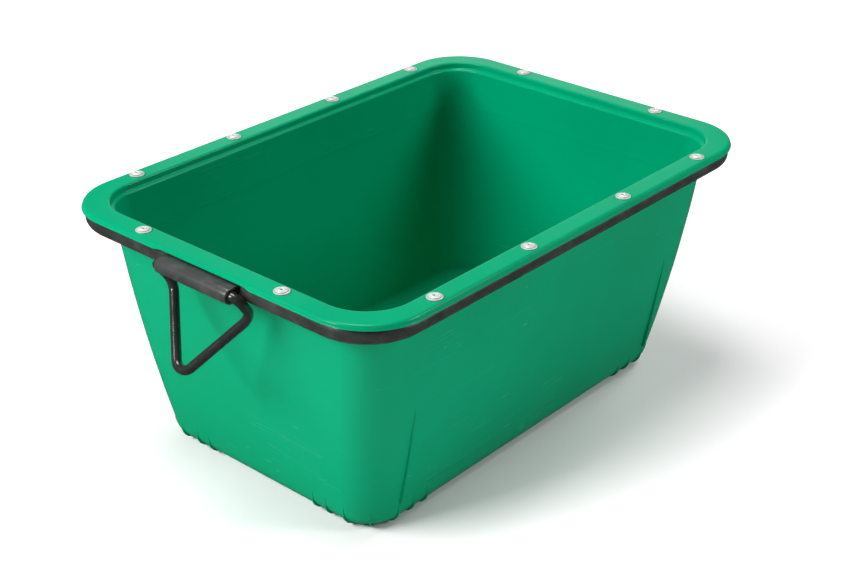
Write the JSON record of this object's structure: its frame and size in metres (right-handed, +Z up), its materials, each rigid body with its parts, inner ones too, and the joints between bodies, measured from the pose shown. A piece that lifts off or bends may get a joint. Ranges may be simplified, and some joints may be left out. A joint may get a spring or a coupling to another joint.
{
  "type": "mortar mixing tub",
  "caption": "Rectangular plastic mortar tub with a flanged rim riveted onto a steel tube frame and a swinging steel lifting loop at each end.",
  "frame": {"origin": "on the floor under the middle of the tub, at the base's underside", "axes": "+Z up, +Y along the tub's length from the front loop to the back loop, +X across its width"},
  "size_m": [0.7, 1.1112, 0.4478],
  "materials": {
    "tub_plastic": "moulded polyethylene, semi-gloss, fine moulding grain and light scuffs",
    "frame_paint": "black-grey paint over steel tube, satin",
    "sleeve_paint": "black-grey paint over rolled sheet steel, satin",
    "loop_paint": "black-grey paint over round steel rod, satin to semi-gloss",
    "washer_steel": "bright zinc, lightly dulled",
    "rivet_aluminium": "bright pressed aluminium",
    "mandrel_steel": "broken steel mandrel end, dull"
  },
  "bodies": {
    "tub": {"tub_shell": "tub_plastic", "rim_frame": "frame_paint", "handle_sleeve_front": "sleeve_paint", "handle_sleeve_back": "sleeve_paint", "washer_01": "washer_steel", "washer_02": "washer_steel", "washer_03": "washer_steel", "washer_04": "washer_steel", "washer_05": "washer_steel", "washer_06": "washer_steel", "washer_07": "washer_steel", "washer_08": "washer_steel", "washer_09": "washer_steel", "washer_10": "washer_steel", "washer_11": "washer_steel", "washer_12": "washer_steel", "rivet_01": "rivet_aluminium", "rivet_02": "rivet_aluminium", "rivet_03": "rivet_aluminium", "rivet_04": "rivet_aluminium", "rivet_05": "rivet_aluminium", "rivet_06": "rivet_aluminium", "rivet_07": "rivet_aluminium", "rivet_08": "rivet_aluminium", "rivet_09": "rivet_aluminium", "rivet_10": "rivet_aluminium", "rivet_11": "rivet_aluminium", "rivet_12": "rivet_aluminium", "mandrel_01": "mandrel_steel", "mandrel_02": "mandrel_steel", "mandrel_03": "mandrel_steel", "mandrel_04": "mandrel_steel", "mandrel_05": "mandrel_steel", "mandrel_06": "mandrel_steel", "mandrel_07": "mandrel_steel", "mandrel_08": "mandrel_steel", "mandrel_09": "mandrel_steel", "mandrel_10": "mandrel_steel", "mandrel_11": "mandrel_steel", "mandrel_12": "mandrel_steel"},
    "front_loop": {"handle_front": "loop_paint"},
    "back_loop": {"handle_back": "loop_paint"}
  },
  "joints": [
    {"name": "front_loop_swing", "type": "hinge", "parent": "tub", "child": "front_loop", "pos_m": [0, -0.51, 0.421], "axis": [-1, 0, 0], "range_deg": [-2, 226]},
    {"name": "back_loop_swing", "type": "hinge", "parent": "tub", "child": "back_loop", "pos_m": [0, 0.51, 0.421], "axis": [1, 0, 0], "range_deg": [-2, 226]}
  ]
}
